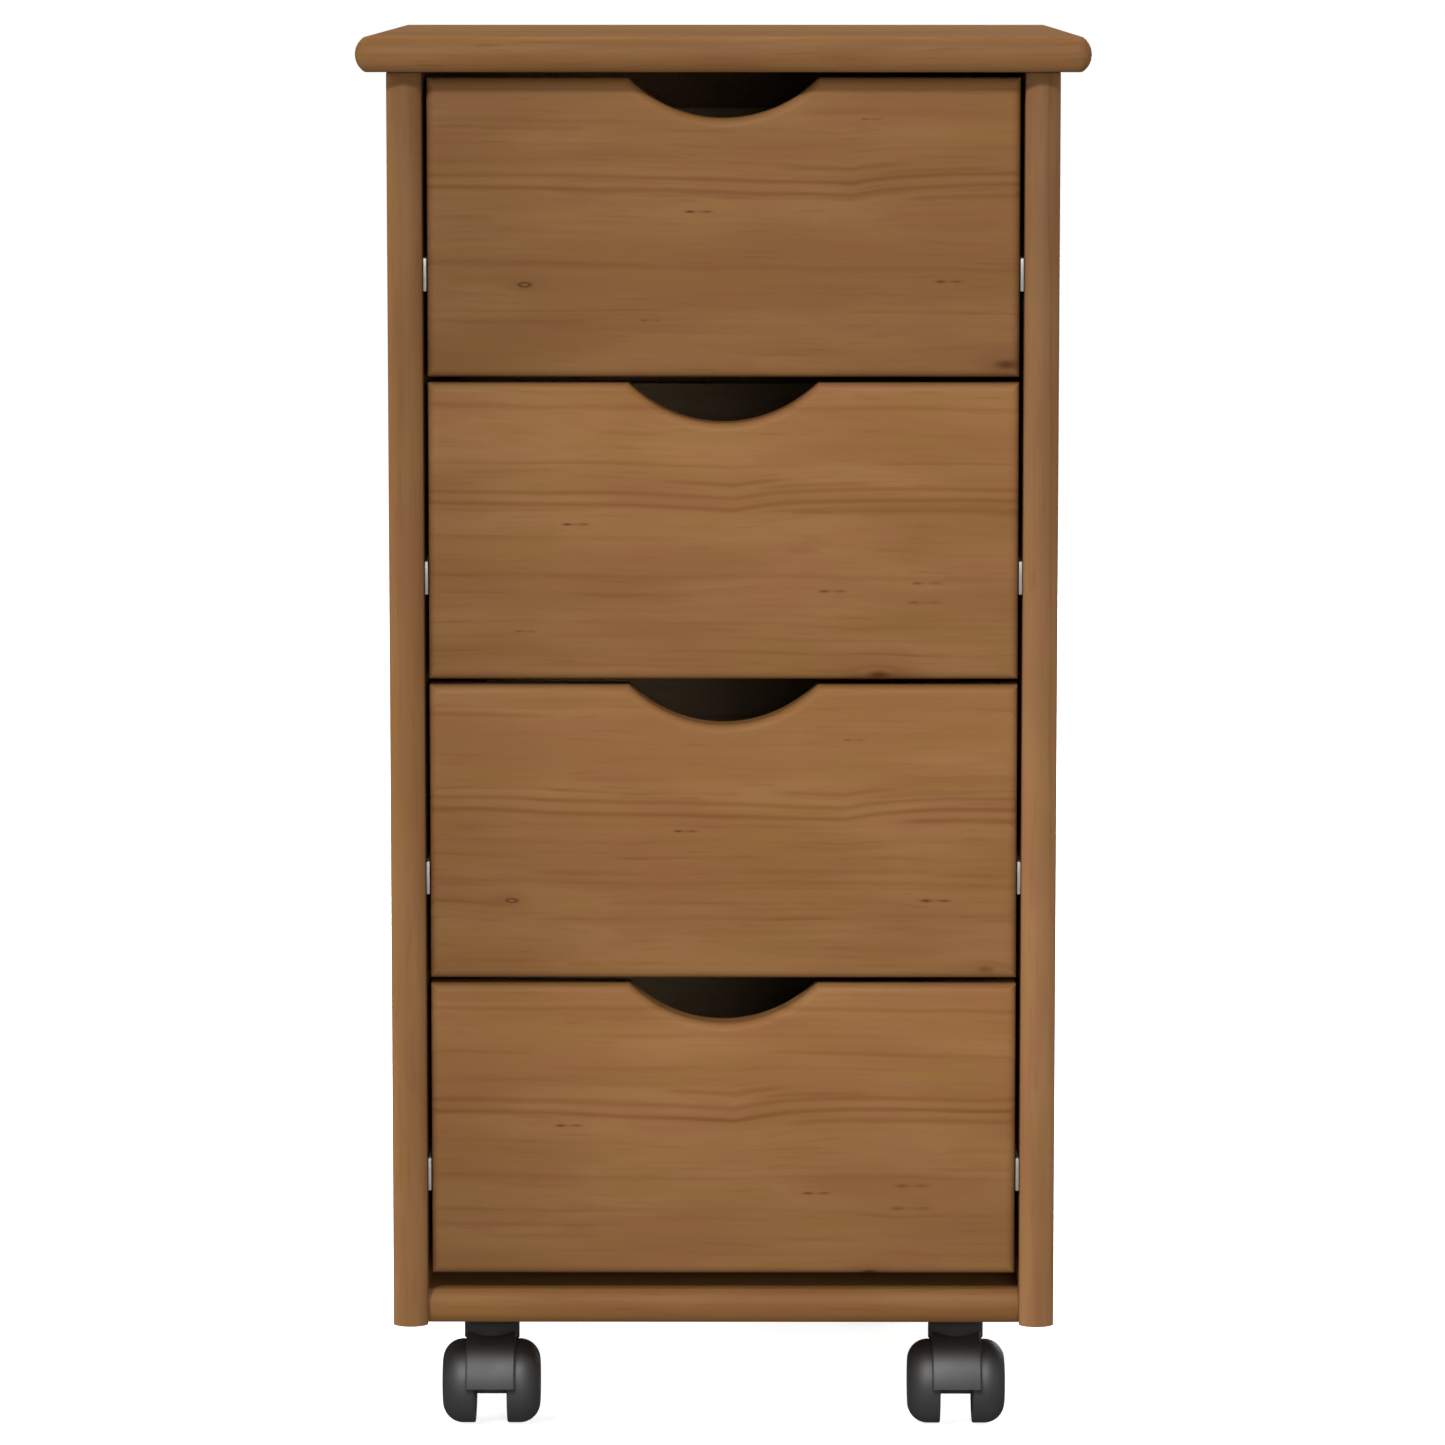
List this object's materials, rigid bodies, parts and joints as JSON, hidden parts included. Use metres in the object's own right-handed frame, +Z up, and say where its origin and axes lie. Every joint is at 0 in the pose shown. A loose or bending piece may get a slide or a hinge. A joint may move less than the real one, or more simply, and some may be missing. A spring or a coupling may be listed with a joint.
{
  "type": "wheeled storage cabinet",
  "caption": "Narrow pine drawer cabinet with arched finger cut-outs, sliding drawers on ball-bearing runners and swivelling twin-wheel casters.",
  "frame": {"origin": "on the floor, under the middle of the cabinet's bounding box", "axes": "+Z up, the drawers face -Y and slide out along it, +X to the right as seen from the front"},
  "size_m": [0.375, 0.42, 0.735],
  "materials": {
    "pine": "honey-brown stained and lacquered edge-glued pine",
    "hardboard": "thin board, smooth face",
    "zinc_steel": "zinc-coated sheet steel",
    "black_plastic": "satin moulded plastic"
  },
  "bodies": {
    "root": {"top_board": "pine", "side_panel_left": "pine", "side_panel_right": "pine", "bottom_board": "pine", "back_panel": "hardboard", "runner_1_left_outer": "zinc_steel", "runner_1_right_outer": "zinc_steel", "runner_2_left_outer": "zinc_steel", "runner_2_right_outer": "zinc_steel", "runner_3_left_outer": "zinc_steel", "runner_3_right_outer": "zinc_steel", "runner_4_left_outer": "zinc_steel", "runner_4_right_outer": "zinc_steel", "caster_front_left_plate": "zinc_steel", "caster_front_right_plate": "zinc_steel", "caster_rear_left_plate": "zinc_steel", "caster_rear_right_plate": "zinc_steel"},
    "drawer_1": {"drawer_1_front": "pine", "drawer_1_side_left": "pine", "drawer_1_side_right": "pine", "drawer_1_back": "pine", "drawer_1_floor": "hardboard", "runner_1_left_inner": "zinc_steel", "runner_1_right_inner": "zinc_steel"},
    "drawer_2": {"drawer_2_front": "pine", "drawer_2_side_left": "pine", "drawer_2_side_right": "pine", "drawer_2_back": "pine", "drawer_2_floor": "hardboard", "runner_2_left_inner": "zinc_steel", "runner_2_right_inner": "zinc_steel"},
    "drawer_3": {"drawer_3_front": "pine", "drawer_3_side_left": "pine", "drawer_3_side_right": "pine", "drawer_3_back": "pine", "drawer_3_floor": "hardboard", "runner_3_left_inner": "zinc_steel", "runner_3_right_inner": "zinc_steel"},
    "drawer_4": {"drawer_4_front": "pine", "drawer_4_side_left": "pine", "drawer_4_side_right": "pine", "drawer_4_back": "pine", "drawer_4_floor": "hardboard", "runner_4_left_inner": "zinc_steel", "runner_4_right_inner": "zinc_steel"},
    "caster_front_left": {"caster_front_left_housing": "black_plastic"},
    "caster_front_left_wheel_left": {"caster_front_left_wheel_left": "black_plastic"},
    "caster_front_left_wheel_right": {"caster_front_left_wheel_right": "black_plastic"},
    "caster_front_right": {"caster_front_right_housing": "black_plastic"},
    "caster_front_right_wheel_left": {"caster_front_right_wheel_left": "black_plastic"},
    "caster_front_right_wheel_right": {"caster_front_right_wheel_right": "black_plastic"},
    "caster_rear_left": {"caster_rear_left_housing": "black_plastic"},
    "caster_rear_left_wheel_left": {"caster_rear_left_wheel_left": "black_plastic"},
    "caster_rear_left_wheel_right": {"caster_rear_left_wheel_right": "black_plastic"},
    "caster_rear_right": {"caster_rear_right_housing": "black_plastic"},
    "caster_rear_right_wheel_left": {"caster_rear_right_wheel_left": "black_plastic"},
    "caster_rear_right_wheel_right": {"caster_rear_right_wheel_right": "black_plastic"}
  },
  "joints": [
    {"name": "drawer_1_slide", "type": "slide", "parent": "root", "child": "drawer_1", "axis": [0, -1, 0], "range_m": [0, 0.26]},
    {"name": "drawer_2_slide", "type": "slide", "parent": "root", "child": "drawer_2", "axis": [0, -1, 0], "range_m": [0, 0.26]},
    {"name": "drawer_3_slide", "type": "slide", "parent": "root", "child": "drawer_3", "axis": [0, -1, 0], "range_m": [0, 0.26]},
    {"name": "drawer_4_slide", "type": "slide", "parent": "root", "child": "drawer_4", "axis": [0, -1, 0], "range_m": [0, 0.26]},
    {"name": "caster_front_left_swivel", "type": "hinge", "parent": "root", "child": "caster_front_left", "pos_m": [-0.1234, -0.13, 0.0577], "axis": [0, 0, 1], "continuous": true},
    {"name": "caster_front_left_roll_left", "type": "hinge", "parent": "caster_front_left", "child": "caster_front_left_wheel_left", "pos_m": [-0.1234, -0.1374, 0.02231], "axis": [1, 0, 0], "continuous": true},
    {"name": "caster_front_left_roll_right", "type": "hinge", "parent": "caster_front_left", "child": "caster_front_left_wheel_right", "pos_m": [-0.1234, -0.1374, 0.02231], "axis": [1, 0, 0], "continuous": true},
    {"name": "caster_front_right_swivel", "type": "hinge", "parent": "root", "child": "caster_front_right", "pos_m": [0.1234, -0.13, 0.0577], "axis": [0, 0, 1], "continuous": true},
    {"name": "caster_front_right_roll_left", "type": "hinge", "parent": "caster_front_right", "child": "caster_front_right_wheel_left", "pos_m": [0.1234, -0.1374, 0.02231], "axis": [1, 0, 0], "continuous": true},
    {"name": "caster_front_right_roll_right", "type": "hinge", "parent": "caster_front_right", "child": "caster_front_right_wheel_right", "pos_m": [0.1234, -0.1374, 0.02231], "axis": [1, 0, 0], "continuous": true},
    {"name": "caster_rear_left_swivel", "type": "hinge", "parent": "root", "child": "caster_rear_left", "pos_m": [-0.1234, 0.16, 0.0577], "axis": [0, 0, 1], "continuous": true},
    {"name": "caster_rear_left_roll_left", "type": "hinge", "parent": "caster_rear_left", "child": "caster_rear_left_wheel_left", "pos_m": [-0.1234, 0.1526, 0.02231], "axis": [1, 0, 0], "continuous": true},
    {"name": "caster_rear_left_roll_right", "type": "hinge", "parent": "caster_rear_left", "child": "caster_rear_left_wheel_right", "pos_m": [-0.1234, 0.1526, 0.02231], "axis": [1, 0, 0], "continuous": true},
    {"name": "caster_rear_right_swivel", "type": "hinge", "parent": "root", "child": "caster_rear_right", "pos_m": [0.1234, 0.16, 0.0577], "axis": [0, 0, 1], "continuous": true},
    {"name": "caster_rear_right_roll_left", "type": "hinge", "parent": "caster_rear_right", "child": "caster_rear_right_wheel_left", "pos_m": [0.1234, 0.1526, 0.02231], "axis": [1, 0, 0], "continuous": true},
    {"name": "caster_rear_right_roll_right", "type": "hinge", "parent": "caster_rear_right", "child": "caster_rear_right_wheel_right", "pos_m": [0.1234, 0.1526, 0.02231], "axis": [1, 0, 0], "continuous": true}
  ]
}
